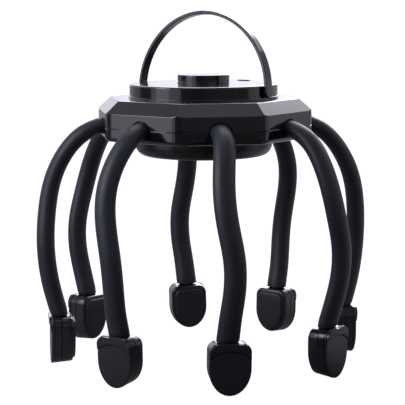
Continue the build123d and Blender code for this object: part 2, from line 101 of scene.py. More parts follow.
# %% A wire between shader nodes
class Wire:
    """An output of a shader node. Arithmetic on wires adds Math nodes to the same tree."""

    def __init__(self, tree, socket=None):
        self.tree, self.socket = tree, socket

    def node(self, kind, settings=None, sockets=None, output=0):
        """Adds a node: first its settings, then the values or wires of its sockets."""
        made = self.tree.nodes.new(kind)
        for name, value in (settings or {}).items():
            setattr(made, name, value)
        for name, value in (sockets or {}).items():
            if isinstance(value, Wire):
                self.tree.links.new(value.socket, made.inputs[name])
            else:
                made.inputs[name].default_value = value
        return Wire(self.tree, made.outputs[output] if made.outputs else None)

    def maths(self, operation, other):
        """A Math node between this wire and another wire or number."""
        return self.node("ShaderNodeMath", {"operation": operation}, {0: self, 1: other})

    def __add__(self, other):
        return self.maths("ADD", other)

    def __mul__(self, other):
        return self.maths("MULTIPLY", other)

    __radd__ = __add__
    __rmul__ = __mul__

    def or_else(self, other):
        """The larger of two values."""
        return self.maths("MAXIMUM", other)

    def mixed(self, dark, light):
        """A colour between two others, by this wire."""
        return self.node(
            "ShaderNodeMix",
            {"data_type": "RGBA"},
            {0: self, 6: (*dark, 1), 7: (*light, 1)},
            output=2,
        )


def empty_tree(owner):
    """Clears the node tree of a material or world, and returns a first wire on it."""
    owner.use_nodes = True
    owner.node_tree.nodes.clear()
    return Wire(owner.node_tree)


print("shader maths is ready")

# %% [markdown]
# ## The studio
#
# A glossy black object is hardly seen by its own colour: what shows is the room that it mirrors.
# One even light would give every wall of the housing the same tone, so the studio is made of
# gradients with wide soft edges. Three helpers are enough for them. One fades between two
# values, one tells how far a direction or a place lies along another, and one picks out the rays
# that go to the camera, since the backdrop itself has to look plain white.


# %% Soft gradients
def fade(wire, value, start, end, low, high):
    """Goes softly from one value to another while a wire goes from start to end."""
    return wire.node(
        "ShaderNodeMapRange",
        {"interpolation_type": "SMOOTHSTEP"},
        {"Value": value, "From Min": start, "From Max": end, "To Min": low, "To Max": high},
    )


def along(wire, place, direction):
    """How far a place or direction lies along another direction."""
    return wire.node(
        "ShaderNodeVectorMath", {"operation": "DOT_PRODUCT"}, {0: place, 1: direction}, "Value"
    )


def to_the_eye(wire):
    """One for the rays that the camera sees the backdrop with, also through clear plastic."""
    camera_ray = wire.node("ShaderNodeLightPath", output="Is Camera Ray")
    return camera_ray.or_else(wire.node("ShaderNodeLightPath", output="Is Transmission Ray"))


cool_white = (0.96, 0.966, 1.06, 1)
print("soft gradients are ready")

# %% [markdown]
# ## The room
#
# The room is dim in front of the object and brighter behind it, because the flat top of the cap
# mirrors what is behind. Four glows stand round it. One on the left and one on the right light
# the sides of the arms and the button, a strong narrow one high at the back gives the sheen on
# the sloped shoulders, and a wide one lower at the back whitens the cap's top. An image of a
# real studio, wrapped round the scene, could do the same, but a few gradients are easier to aim,
# and they stay smooth.

# %% The room
back_way = Vector((sight.x, sight.y, 0)).normalized()
room_glows = (  # direction, where the glow begins and is full, strength
    ((-0.81, -0.59, 0), 0.2, 0.9, 0.45),
    ((0.94, 0.34, 0), 0.2, 0.9, 0.3),
    ((-0.58, 0.80, 0.14), 0.8, 0.97, 0.79),
    ((-0.37, 0.80, 0.47), 0.9, 0.975, 5.728),
)
room_front, room_back, room_to_the_eye = 0.165, 0.307, 1.1

world = bpy.data.worlds.new("studio")
bpy.context.scene.world = world
wire = empty_tree(world)
ray_way = wire.node("ShaderNodeTexCoord", output="Generated")
room = fade(wire, along(wire, ray_way, back_way), -0.1, 0.7, room_front, room_back)
for way, begin, full, strength in room_glows:
    room = room + fade(wire, along(wire, ray_way, way), begin, full, 0.0, strength)
room = room.or_else(room_to_the_eye * to_the_eye(wire))
backdrop = wire.node("ShaderNodeBackground", None, {"Color": cool_white, "Strength": room})
wire.node("ShaderNodeOutputWorld", None, {"Surface": backdrop})
print("the room has", len(room_glows), "glows")

# %% [markdown]
# ## The floor
#
# The upright walls mirror the floor, not the room, because the camera looks down on them. So the
# floor carries gradients too: it grows lighter away from the camera and to the right, and three
# round pools of light lie on it. It glows instead of being lit, which keeps its tone apart from
# the lamps that light the object. The heads stand on it, so it lies at the lowest of them.

# %% The floor
floor_size, floor_level = 12.0, -0.6 * mm
floor_slopes = (  # direction, where the slope begins and ends in metres, from and to strength
    ((-0.26, 0.97, 0), 0.04, 0.18, 0.024, 0.32),
    ((0.906, 0.423, 0), 0.35, 0.95, 0.0, 0.072),
)
floor_pools = (  # middle, outer and inner radius, strength
    ((-0.25, 0.50, 0), 0.62, 0.34, 0.20),
    ((-0.12, -0.18, 0), 0.24, 0.08, 0.24),
    ((0.18, 0.13, 0), 0.17, 0.06, 0.30),
)
floor_to_the_eye, matt_share = 1.15, 0.08

bpy.ops.object.select_all(action="DESELECT")
bpy.ops.mesh.primitive_plane_add(size=floor_size, location=(0, 0, floor_level))
floor = bpy.context.object
floor.name = "floor"
paper = bpy.data.materials.new("white_paper")
wire = empty_tree(paper)
spot = wire.node("ShaderNodeTexCoord", output="Object")
rising = [fade(wire, along(wire, spot, way), *span) for way, *span in floor_slopes]
shown = rising[0] + rising[1]
for middle, outer, inner, strength in floor_pools:
    away = wire.node(
        "ShaderNodeVectorMath", {"operation": "DISTANCE"}, {0: spot, 1: middle}, "Value"
    )
    shown = shown + fade(wire, away, outer, inner, 0.0, strength)
shown = shown.or_else(floor_to_the_eye * to_the_eye(wire))
glow = wire.node("ShaderNodeEmission", None, {"Color": cool_white, "Strength": shown})
matt = wire.node("ShaderNodeBsdfDiffuse", None, {"Color": (0.95, 0.95, 0.95, 1)})
surface = wire.node("ShaderNodeMixShader", None, {0: matt_share, 1: glow, 2: matt})
wire.node("ShaderNodeOutputMaterial", None, {"Surface": surface})
floor.data.materials.append(paper)
print("the floor has", len(floor_pools), "pools of light")

# %% [markdown]
# ## Soft boxes
#
# The room and the floor are mirrored by the polished plastic, but they are too dim to model the
# matte silicone. That takes lamps. Point lamps would leave hard spots in the gloss, so these are
# soft boxes: rectangles, whose light has a softer edge the larger they are. Four of them stand
# at the front left, from low to high. Two weaker ones stand on the right, one at the right rear
# lights the shoulders, one is high at the back and one hangs above. All shine at the middle of
# the object. Each has a radiance, so that a change of size doesn't change how bright it looks in
# the gloss.

# %% Soft boxes
lit_point = Vector((0, 0, 0.12))
lamp_colour = (0.94, 0.95, 1.07)


def soft_box(name, azimuth, distance, height, size, radiance):
    """A rectangular lamp that stands at a compass direction and shines at the middle."""
    turn = math.radians(azimuth)
    place = Vector((distance * math.cos(turn), distance * math.sin(turn), height))
    bpy.ops.object.light_add(type="AREA", location=place)
    lamp = bpy.context.object
    lamp.name = name
    lamp.rotation_euler = (lit_point - place).to_track_quat("-Z", "Y").to_euler()
    lamp.data.shape = "RECTANGLE"
    lamp.data.size, lamp.data.size_y = size
    lamp.data.energy = radiance * math.pi * size[0] * size[1]
    lamp.data.color = lamp_colour
    lamp.visible_camera = False
    return lamp


lamps = [
    soft_box(*row)
    for row in (
        ("left_wide_box", 246, 0.60, 0.14, (0.58, 0.22), 0.72),
        ("left_mid_box", 242, 0.60, 0.14, (0.25, 0.22), 0.72),
        ("left_high_box", 244, 0.60, 0.40, (0.38, 0.26), 5.434),
        ("left_top_box", 236, 0.60, 0.70, (0.40, 0.30), 3.0),
        ("right_low_box", 40, 0.80, 0.14, (0.60, 0.26), 0.166),
        ("shoulder_box", 80, 0.80, 0.72, (0.34, 0.30), 1.275),
        ("right_high_box", 40, 0.70, 0.55, (0.34, 0.30), 0.887),
        ("rear_high_box", 126, 0.60, 1.06, (0.50, 0.35), 2.5),
        ("top_box", 300, 0.10, 1.10, (0.60, 0.60), 0.462),
    )
]
print("the studio has", len(lamps), "soft boxes")

# %% [markdown]
# ## Finishes
#
# Real mouldings are never one flat value: the gloss is a little cloudy, and there is a fine
# grain. Scanned textures could show that, but noise needs no files and never repeats. Every
# finish here is procedural and reads Object coordinates, in metres, so a grain of 0.2 mm is a
# noise of about 5000 per metre.


# %% Grain and finish helpers
def noise(wire, per_metre, stretch=(1, 1, 1), detail=2.0):
    """Noise with so many lumps per metre, stretched along the axes."""
    on_piece = wire.node("ShaderNodeTexCoord", output="Object")
    scaled = wire.node("ShaderNodeMapping", None, {"Vector": on_piece, "Scale": stretch})
    return wire.node(
        "ShaderNodeTexNoise", None, {"Vector": scaled, "Scale": per_metre, "Detail": detail}
    )


def bumped(wire, height, depth):
    """A bump of so many metres."""
    return wire.node("ShaderNodeBump", None, {"Height": height, "Distance": depth})


def finish(name, sockets, varied):
    """A material: fixed values of the shader, and a function that gives those that vary."""
    material = bpy.data.materials.new(name)
    wire = empty_tree(material)
    shader = wire.node("ShaderNodeBsdfPrincipled", None, {**sockets, **varied(wire)})
    wire.node("ShaderNodeOutputMaterial", None, {"Surface": shader})
    return material


print("grain helpers are ready")

# %% [markdown]
# ## Hard plastics
#
# The housing is polished ABS. It is very smooth, with a thin coat of lacquer and faint level flow
# streaks that show in long reflections, and its depth comes from a nearly black base with a
# breath of blue. One finish could serve all the mouldings, but they are moulded apart, and each
# mould leaves its own skin. The drum has the same colour with an etched skin, which blurs what it
# mirrors. The heads are satin: a little lighter, with a grain too fine to see by itself.

# %% Polished, etched and satin plastics
deep_black = ((0.0035, 0.0035, 0.0055), (0.0060, 0.0060, 0.0088))


def polished(wire):
    """Gloss with level flow streaks."""
    streaks = noise(wire, 900, (0.06, 0.06, 1.0), 3.0)
    cloud = noise(wire, 60, detail=3.0)
    return {
        "Base Color": cloud.mixed(*deep_black),
        "Roughness": 0.07 + 0.06 * cloud + 0.03 * streaks,
        "Normal": bumped(wire, streaks, 0.000012),
    }


def etched(wire):
    """The same colour, rough enough to blur what it mirrors."""
    cloud = noise(wire, 60, detail=3.0)
    return {"Base Color": cloud.mixed(*deep_black), "Roughness": 0.30 + 0.06 * cloud}


def satin(wire):
    """A soft gloss over a fine grain."""
    grain = noise(wire, 4200, detail=1.0)
    cloud = noise(wire, 90)
    return {
        "Base Color": cloud.mixed((0.0090, 0.0100, 0.0130), (0.0130, 0.0142, 0.0180)),
        "Roughness": 0.13 + 0.08 * cloud,
        "Normal": bumped(wire, grain, 0.000008),
    }


lacquered ={"IOR": 1.5, "Coat Weight": 0.35, "Coat Roughness": 0.06}
gloss_black = finish("gloss_black", lacquered, polished)
satin_black = finish("satin_black", {"IOR": 1.5}, etched)
head_plastic = finish("head_plastic", {"IOR": 1.5}, satin)
print("plastics:", gloss_black.name, satin_black.name, head_plastic.name)

# %% [markdown]
# ## Silicone and rubber
#
# The arms are matte black silicone, which bends light less than plastic does and has a cloudy
# bloom on it. Sheen could fake that bloom, but it lightens the edges like cloth, so the roughness
# does it. The contact pads are a firmer rubber, slightly smoother, with a finer cloud.


# %% Silicone and rubber
def silicone_skin(wire):
    """Matte, with a cloudy bloom."""
    bloom = noise(wire, 140, detail=4.0)
    grain = noise(wire, 5200, detail=1.0)
    return {
        "Base Color": bloom.mixed((0.0115, 0.0132, 0.0190), (0.0170, 0.0193, 0.0270)),
        "Roughness": 0.40 + 0.12 * bloom,
        "Normal": bumped(wire, grain, 0.000012),
    }


def rubber_skin(wire):
    """Slightly smoother, with a finer cloud."""
    bloom = noise(wire, 200, detail=3.0)
    grain = noise(wire, 4500, detail=1.0)
    return {
        "Base Color": bloom.mixed((0.011, 0.012, 0.0145), (0.016, 0.0175, 0.021)),
        "Roughness": 0.36 + 0.12 * bloom,
        "Normal": bumped(wire, grain, 0.00001),
    }


silicone = finish("silicone", {"IOR": 1.41}, silicone_skin)
pad_rubber = finish("pad_rubber", {"IOR": 1.45}, rubber_skin)
print("soft finishes:", silicone.name, pad_rubber.name)

# %% [markdown]
# ## The small parts
#
# Screws, the board, its switch, the port, the battery, the motors and the sockets hardly show, if
# at all. They still get a finish of their own, since the part can be opened up. Each is a grained
# surface between two tones, so one function makes them all from a table.


# %% Finishes of the small parts
def plain_skin(dark, light, rough, spread=0.1):
    """A simple grained surface between two colours."""

    def skin(wire):
        cloud = noise(wire, 400, detail=3.0)
        grain = noise(wire, 4000, detail=1.0)
        return {
            "Base Color": cloud.mixed(dark, light),
            "Roughness": rough + spread * cloud,
            "Normal": bumped(wire, grain, 0.000006),
        }

    return skin


metal = {"Metallic": 1.0}
small = {
    name: finish(name, sockets, plain_skin(*tones))
    for name, sockets, *tones in (
        ("smoked_lens", {"IOR": 1.2}, (0.01, 0.01, 0.012), (0.016, 0.016, 0.02), 0.5),
        ("inner_plastic", {}, (0.012, 0.012, 0.013), (0.02, 0.02, 0.022), 0.45),
        ("steel", metal, (0.42, 0.42, 0.43), (0.55, 0.55, 0.56), 0.28),
        ("port_metal", metal, (0.5, 0.5, 0.5), (0.62, 0.61, 0.6), 0.22),
        ("motor_can", metal, (0.46, 0.46, 0.45), (0.58, 0.58, 0.57), 0.25),
        ("board", {"Coat Weight": 0.4}, (0.008, 0.06, 0.022), (0.012, 0.085, 0.03), 0.4),
        ("switch", {}, (0.015, 0.015, 0.015), (0.03, 0.03, 0.03), 0.4),
        ("cell", {"Metallic": 0.6}, (0.25, 0.3, 0.36), (0.34, 0.4, 0.46), 0.35, 0.15),
    )
}
print("finishes of the small parts:", ", ".join(small))

# %% [markdown]
# ## Dressing the hard mouldings
#
# The CAD nodes keep their shape and place. The housing, the handle and the parts inside could be
# modelled again, but they are as fine as they need to be. So each node only gets a finish, by the
# kind of part that it is. The arms and the heads get one too, although finer pieces will stand
# for them.

# %% Dress the CAD nodes
finish_of = {
    "upper_shell": gloss_black,
    "lower_shell": gloss_black,
    "top_cap": gloss_black,
    "power_button": gloss_black,
    "carry_handle": gloss_black,
    "base_drum": satin_black,
    "indicator_lens": small["smoked_lens"],
    "shell_screws": small["steel"],
    "arm_sockets": small["inner_plastic"],
    "control_board": small["board"],
    "tact_switch": small["switch"],
    "charging_port": small["port_metal"],
    "battery": small["cell"],
}
for name, node in nodes.items():
    if name.endswith(("outer_cover", "inner_shell")):
        chosen = head_plastic
    elif name.endswith("motor"):
        chosen = small["motor_can"]
    else:
        chosen = finish_of.get(name, silicone)
    node.data.materials.clear()
    node.data.materials.append(chosen)
print("dressed", len(nodes), "nodes")

# %% [markdown]
# ## Where the arms stand
#
# Each arm starts in the middle of one flat of the housing. The arms are all alike, so one is
# modelled, in its own frame, with its root at the origin and +X outwards. Eight copies then go to
# their places. Soft arms never hang quite alike, so each has a small lean of its own.

# %% Places of the arms
wall_distance, root_height = 55.0 * mm, 128.8 * mm
leans = (  # outwards and sideways, in degrees
    (-0.4, 0.3),
    (0.0, -0.6),
    (-0.4, 1.2),
    (-0.2, -1.5),
    (1.1, 2.2),
    (0.9, -0.6),
    (-1.3, 0.1),
    (0.3, -1.2),
)
root_at = Matrix.Translation((wall_distance, 0, root_height))
places = []
for number, (outwards, sideways) in enumerate(leans):
    spin = Matrix.Rotation(math.radians(360 / len(leans) * number), 4, "Z")
    swing = Matrix.Rotation(math.radians(sideways), 4, "X")
    lift = Matrix.Rotation(math.radians(-outwards), 4, "Y")
    places.append(spin @ root_at @ (swing @ lift))
print("places for", len(places), "arms")

# %% [markdown]
# ## The line of an arm
#
# An arm leaves the wall, bulges outwards, swings a little to one side and comes back in. Nine
# points give its line, with the slope at each end. The slopes in between aren't set by hand: they
# come from one small set of equations, which makes the bend change evenly from point to point.
# That is how a soft tube hangs, and it leaves no flat spots.


# %% Points and slopes of the line
def even_slopes(points, first, last):
    """Slopes at the points of a curve whose bend changes evenly, given both end slopes."""
    count = len(points)
    spans = [(points[i + 1] - points[i]).length for i in range(count - 1)]
    system, wanted = np.eye(count), np.zeros((count, 3))
    wanted[0], wanted[-1] = first, last
    for i in range(1, count - 1):
        before, after = spans[i - 1], spans[i]
        system[i, i - 1 : i + 2] = after, 2 * (before + after), before
        rise_before = (points[i] - points[i - 1]) * (3 * after / before)
        rise_after = (points[i + 1] - points[i]) * (3 * before / after)
        wanted[i] = rise_before + rise_after
    return spans, [Vector(slope) for slope in np.linalg.solve(system, wanted)]


route = [
    Vector(point) * mm
    for point in (
        (0, 0, 0),
        (9.85, 0.04, -4.43),
        (19.96, -1.37, -15.71),
        (26.27, -2.00, -30.11),
        (29.14, -0.11, -45.21),
        (30.14, 2.77, -60.42),
        (29.05, 3.29, -75.73),
        (25.91, 1.96, -90.83),
        (23.10, 1.40, -100.70),
    )
]
root_dip, tip_lean, tip_slip = (math.radians(angle) for angle in (15.0, 16.0, 4.0))
root_slope = Vector((math.cos(root_dip), 0, -math.sin(root_dip)))
tip_slope = Vector((-math.tan(tip_lean), -math.tan(tip_slip), -1)).normalized()
spans, slopes = even_slopes(route, root_slope, tip_slope)
print("the line goes through", len(route), "points")

# %% [markdown]
# The line itself is a Bezier curve. Its handles stand a third of a span from each point, along
# the slope there, which turns the slopes into exactly the curve that was worked out.

# %% Draw the line
bpy.ops.object.select_all(action="DESELECT")
bpy.ops.curve.primitive_bezier_curve_add()
arm_line = bpy.context.object
arm_line.name = "arm_line"
bezier = arm_line.data.splines[0].bezier_points
bezier.add(len(route) - len(bezier))
for i, point in enumerate(bezier):
    point.handle_left_type = point.handle_right_type = "FREE"
    point.co = route[i]
    point.handle_left = route[i] - slopes[i] * spans[max(i - 1, 0)] / 3
    point.handle_right = route[i] + slopes[i] * spans[min(i, len(spans) - 1)] / 3
arm_line.data.resolution_u = 48
arm_length = arm_line.data.splines[0].calc_length()
print("the arm's line is", round(arm_length / mm, 1), "mm long")

# %% [markdown]
# ## Edit mode from code
#
# All pieces below are modelled as by hand: a primitive, then extrude, scale, bevel. By hand, the
# mouse picks what the next tool works on. In code a test of the place or the normal picks it,
# which still works after the numbers change.


# %% Edit and select
def edit(piece):
    """Enters edit mode on one piece, with nothing else selected."""
    bpy.ops.object.select_all(action="DESELECT")
    piece.select_set(True)
    bpy.context.view_layer.objects.active = piece
    bpy.ops.object.mode_set(mode="EDIT")


def close_up():
    """Turns all faces of the piece outwards, and leaves edit mode."""
    bpy.ops.mesh.select_all(action="SELECT")
    bpy.ops.mesh.normals_make_consistent(inside=False)
    bpy.ops.object.mode_set(mode="OBJECT")


def smooth(sharpest):
    """Shades the active piece smooth, but for edges sharper than so many degrees."""
    bpy.ops.object.shade_smooth_by_angle(angle=math.radians(sharpest))


def select_by(piece, kind, wanted):
    """Selects vertices or faces, in edit mode, by a test of each."""
    bpy.ops.object.mode_set(mode="OBJECT")
    mesh = piece.data
    for group in (mesh.vertices, mesh.edges, mesh.polygons):
        group.foreach_set("select", [False] * len(group))
    bpy.ops.object.mode_set(mode="EDIT")
    bpy.ops.mesh.select_mode(type=kind)
    bpy.ops.object.mode_set(mode="OBJECT")
    for item in {"VERT": mesh.vertices, "FACE": mesh.polygons}[kind]:
        item.select = wanted(item)
    bpy.ops.object.mode_set(mode="EDIT")


print("tools for edit mode are ready")

# %% [markdown]
# ## The rings of an arm
#
# The sleeve is modelled straight, along +X, where every ring is a plain oval. It starts with a
# round root that turns in its socket, fills out just outside the wall, flares a little towards
# the head and ends in a small rounded rim. Behind the rim stand the plug and the neck that hold
# it in the head. This cell only lists the rings: how far along the arm each one is, its half
# width and its half thickness.

# %% List the rings
girth = (  # place along the arm, half width, half thickness, in millimetres
    (-1.0, 5.45, 4.30),
    (4.0, 5.45, 4.30),
    (14.0, 5.66, 4.48),
    (62.0, 5.66, 4.84),
    (92.0, 5.66, 4.84),
    (125.0, 5.90, 4.72),
)


def oval_at(reach):
    """Half width and half thickness of the sleeve at a place along the arm."""
    for (start, *thin), (end, *full) in zip(girth, girth[1:]):
        if reach <= end * mm:
            share = min(max((reach / mm - start) / (end - start), 0.0), 1.0)
            eased = share * share * (3 - 2 * share)
            return [(a + (b - a) * eased) * mm for a, b in zip(thin, full)]
    return [value * mm for value in girth[-1][1:]]


steps, sleeve_end = 60, arm_length + 0.6 * mm
rim_at, rim_end, rim_turn = arm_length + 0.9 * mm, arm_length + 1.1 * mm, 0.06 * mm
plug_end = arm_length + 2.2 * mm
neck_end, neck_radius = plug_end + 3.4 * mm, 2.4 * mm
chamfer = 0.3 * mm

root_wide, root_thick = oval_at(0)
rings = [
    (-root_thick * math.cos(turn), root_wide * math.sin(turn), root_thick * math.sin(turn))
    for turn in (math.radians(angle) for angle in (12, 24, 36, 48, 60, 75, 90))
]
for step in range(1, steps + 1):
    reach = step / steps * sleeve_end
    rings.append((reach, *oval_at(reach)))
last_sleeve_ring = len(rings) - 1
tip_wide, tip_thick = oval_at(arm_length)
plug_wide, plug_thick = tip_wide - 1.35 * mm, tip_thick - 1.65 * mm
rings += [
    (rim_at, tip_wide - rim_turn, tip_thick - rim_turn),
    (rim_end, tip_wide - chamfer, tip_thick - chamfer),
    (rim_end, plug_wide, plug_thick),
    (plug_end - chamfer, plug_wide, plug_thick),
    (plug_end, plug_wide - chamfer, plug_thick - chamfer),
    (plug_end, neck_radius, neck_radius),
    (neck_end - chamfer, neck_radius, neck_radius),
    (neck_end, neck_radius - chamfer, neck_radius - chamfer),
]
print("an arm has", len(rings), "rings")

# %% [markdown]
# ## A straight arm
#
# The first ring is a filled circle, turned so that it faces along the arm and scaled to its oval.
# From there each ring is one extrusion and one scaling. A hand would do the same, but not seventy
# times. A bevelled curve would be shorter to write, but it can't have the root, the rim and the
# plug in one skin.

# %% Extrude a straight arm
ring_points = 40
first_reach, first_wide, first_thick = rings[0]
bpy.ops.object.select_all(action="DESELECT")
bpy.ops.mesh.primitive_circle_add(
    vertices=ring_points,
    radius=1.0,
    fill_type="NGON",
    location=(first_reach, 0, 0),
    rotation=(0, math.radians(90), 0),
)
arm = bpy.context.object
arm.name = "silicone_arm"
bpy.ops.object.transform_apply(location=True, rotation=True, scale=True)
edit(arm)
bpy.ops.mesh.select_all(action="SELECT")
bpy.ops.transform.resize(value=(1, first_wide, first_thick), center_override=(first_reach, 0, 0))
for (reach, wide, thick), (next_reach, next_wide, next_thick) in zip(rings, rings[1:]):
    ahead = (next_reach - reach, 0, 0)
    bpy.ops.mesh.extrude_region_move(TRANSFORM_OT_translate={"value": ahead})
    growth = (1, next_wide / wide, next_thick / thick)
    bpy.ops.transform.resize(value=growth, center_override=(next_reach, 0, 0))
close_up()
print("a straight arm has", len(arm.data.polygons), "faces")

# %% [markdown]
# ## Bend the arm
#
# A Curve modifier lays the straight arm along its line. That is quicker and cleaner than turning
# each ring by hand, and the ovals keep their shape. The line meets the head at a slant, so the
# four rings at the sleeve's end are then pressed flat, each at its own small height over the
# head's top.

# %% Bend it along its line
head_top = -102.2 * mm
ring_heights = (0.75, 0.40, 0.04, 0.04)  # in millimetres over the head's top
bend = arm.modifiers.new("bend", "CURVE")
bend.object = arm_line
bend.deform_axis = "POS_X"
bpy.context.view_layer.objects.active = arm
bpy.ops.object.modifier_apply(modifier="bend")

edit(arm)
for ring, height in enumerate(ring_heights, start=last_sleeve_ring):
    members = range(ring * ring_points, (ring + 1) * ring_points)
    select_by(arm, "VERT", lambda vertex: vertex.index in members)
    bpy.ops.transform.resize(value=(1, 1, 0), center_override=(0, 0, head_top + height * mm))
bpy.ops.object.mode_set(mode="OBJECT")
smooth(50)
lowest = min(vertex.co.z for vertex in arm.data.vertices)
print("the bent arm reaches down", round(-lowest / mm, 1), "mm")

# %% [markdown]
# ## Eight arms
#
# Each copy has its own mesh, goes to its place and stands for its CAD node. The place is applied
# to the mesh, so that the object stays at the origin and the grain doesn't slide.


# %% Copy the arm to its places
def copy_to(piece, place, name, finish_used):
    """A copy of a piece with its own mesh, put in its place, with its object at the origin."""
    copied = piece.copy()
    copied.data = piece.data.copy()
    copied.name = copied.data.name = name
    bpy.context.scene.collection.objects.link(copied)
    bpy.ops.object.select_all(action="DESELECT")
    copied.select_set(True)
    bpy.context.view_layer.objects.active = copied
    copied.matrix_world = place
    bpy.ops.object.transform_apply(location=True, rotation=True, scale=True)
    copied.data.materials.clear()
    copied.data.materials.append(finish_used)
    return copied


for number, place in enumerate(places, start=1):
    sleeve = copy_to(arm, place, f"silicone_arm_{number}", silicone)
    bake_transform(sleeve)
    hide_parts(f"arm_{number}")
bpy.data.objects.remove(arm)
bpy.data.objects.remove(arm_line)
print("eight silicone arms hang from the housing")

# %% [markdown]
# ## The massage heads
#
# A head has three visible mouldings: the outer cover with its raised visor, the inner shell and
# the soft contact pad. All three start from one outline, half an oval below and a block with
# round shoulders above. They are built up lying flat, +Z inwards, with the waist of the head at
# the origin, because a flat outline is easy to extrude and a standing one isn't.

# %% The head's outline
head_half, head_belly, waist_to_top, head_corner = 10.75 * mm, 13.7 * mm, 12.9 * mm, 4.7 * mm
half_thick = 5.9 * mm
hair = 0.01 * mm  # less than this counts as the same place


def outline(name, half=head_half, top=waist_to_top):
    """A flat face with the head's outline, in edit mode."""
    bpy.ops.object.select_all(action="DESELECT")
    bpy.ops.mesh.primitive_circle_add(vertices=72, radius=1.0, fill_type="NOTHING")
    piece = bpy.context.object
    piece.name = name
    edit(piece)
    bpy.ops.mesh.select_all(action="SELECT")
    bpy.ops.transform.resize(value=(half, head_belly, 1))
    select_by(piece, "VERT", lambda vertex: vertex.co.y > hair)
    bpy.ops.mesh.delete(type="VERT")
    select_by(piece, "VERT", lambda vertex: vertex.co.y > -hair)
    bpy.ops.mesh.extrude_vertices_move(TRANSFORM_OT_translate={"value": (0, top, 0)})
    bpy.ops.mesh.select_all(action="SELECT")
    bpy.ops.mesh.edge_face_add()
    select_by(piece, "VERT", lambda vertex: vertex.co.y > top - hair)
    bpy.ops.mesh.bevel(affect="VERTICES", offset=head_corner, segments=12)
    bpy.ops.mesh.select_all(action="SELECT")
    return piece


print("a head is", round(2 * head_half / mm, 1), "mm wide")

# %% [markdown]
# ## Rings for the mouldings
#
# The outline is extruded through a list of rings. Each ring has a height, and is drawn in from
# the outline by its own amounts at the sides, the top and the foot. One list then holds a whole
# profile: the rounded rims, the shadow lines, the hollow inside and the draft. A bevel modifier
# could round the rims too, but it would round the fine steps of the seams away with them.


# %% Extrude through rings
def through_rings(piece, rings):
    """Extrudes the outline through rings of (height, side, top, foot), in millimetres."""
    low, high, half = -head_belly / mm, waist_to_top / mm, head_half / mm
    now = (0.0, 0.0, 0.0, 0.0)
    for count, ring in enumerate(rings):
        move = {"value": (0, 0, (ring[0] - now[0]) * mm)}
        if count:
            bpy.ops.mesh.extrude_region_move(TRANSFORM_OT_translate=move)
        else:
            bpy.ops.transform.translate(**move)
        wide = (half - ring[1]) / (half - now[1])
        tall = (high - ring[2] - low - ring[3]) / (high - now[2] - low - now[3])
        # Scaling about the waist shifts the foot, so the ring is moved until its foot is right.
        bpy.ops.transform.resize(value=(wide, tall, 1), center_override=(0, 0, 0))
        foot_now = (low + now[3]) * tall
        bpy.ops.transform.translate(value=(0, (low + ring[3] - foot_now) * mm, 0))
        now = ring
    close_up()
    smooth(35)


def rounding(face, radius, direction, side=0.0, top=0.0, foot=0.0):
    """Rings of a quarter round, from a flat face to the walls beside it."""
    rings = []
    for angle in (0, 18, 36, 54, 72, 90):
        turn = math.radians(angle)
        inset = radius * (1 - math.sin(turn))
        height = face + direction * radius * (1 - math.cos(turn))
        rings.append((height, side + inset, top + inset, foot + inset))
    return rings


def walled(height, inset, extra_foot=0.0):
    """A ring that is drawn in evenly, with a little more at the foot."""
    return (height, inset, inset, inset + extra_foot)


print("rings are ready")

# %% [markdown]
# ## The outer cover
#
# The cover is a shallow shell with a small round at its face. A fine shadow line runs round its
# wall, where the two halves of the mould met, and the wall ends in a step at the seam with the
# inner shell. After the step the rings turn back up inside, so the shell has a real thickness.

# %% Model the outer cover
face_at, seam = -half_thick / mm, -0.4
cover = outline("outer_cover")
through_rings(
    cover,
    rounding(face_at, 0.7, 1)
    + [
        walled(-4.35, 0.0),
        walled(-4.30, 0.4),
        walled(-4.00, 0.45),
        walled(-3.95, 0.15),
        walled(seam - 0.25, 0.2, 0.25),
        walled(seam, 0.45, 0.25),
        walled(seam, 1.6, 0.3),
        walled(-4.3, 1.9, 0.3),
    ],
)
print("the outer cover has", len(cover.data.polygons), "faces")

# %% [markdown]
# ## The line under the visor
#
# Where the visor meets the face there is a thin dark line in the shape of an arc. Dark paint
# would do in one view, but a real groove also catches the light from other sides. A torus of
# nearly the arc's radius, stretched to twice its depth, is the cutter: a boolean takes its
# volume out of the cover.


# %% Cut the line under the visor
def cut_away(piece, cutter):
    """Takes the cutter's volume out of a piece, and removes the cutter."""
    bpy.context.view_layer.objects.active = piece
    cut = piece.modifiers.new("cut", "BOOLEAN")
    cut.operation, cut.object, cut.solver = "DIFFERENCE", cutter, "EXACT"
    bpy.ops.object.modifier_apply(modifier="cut")
    bpy.data.objects.remove(cutter)


visor_arc, visor_drop = 16.0 * mm, 3.7 * mm
arc_centre = (0, waist_to_top - visor_drop - visor_arc, -half_thick)
groove_inwards, groove_radius, groove_stretch = 0.22 * mm, 0.36 * mm, 2.0
bpy.ops.object.select_all(action="DESELECT")
bpy.ops.mesh.primitive_torus_add(
    location=arc_centre,
    major_radius=visor_arc - groove_inwards,
    minor_radius=groove_radius,
    major_segments=160,
    minor_segments=16,
)
groove = bpy.context.object
groove.scale.z = groove_stretch
cut_away(cover, groove)
print("with the groove it has", len(cover.data.polygons), "faces")

# %% [markdown]
# ## The visor
#
# The visor is a slab with the same outline, sunk into the cover. A round cutter takes its lower
# part away along the arc. Its front leans back towards the arc, so that it runs out into the
# cover's face. A small bevel rounds its edges, which is simpler here than rings, because the arc
# crosses them. Cover and visor are one moulding, so they are joined.

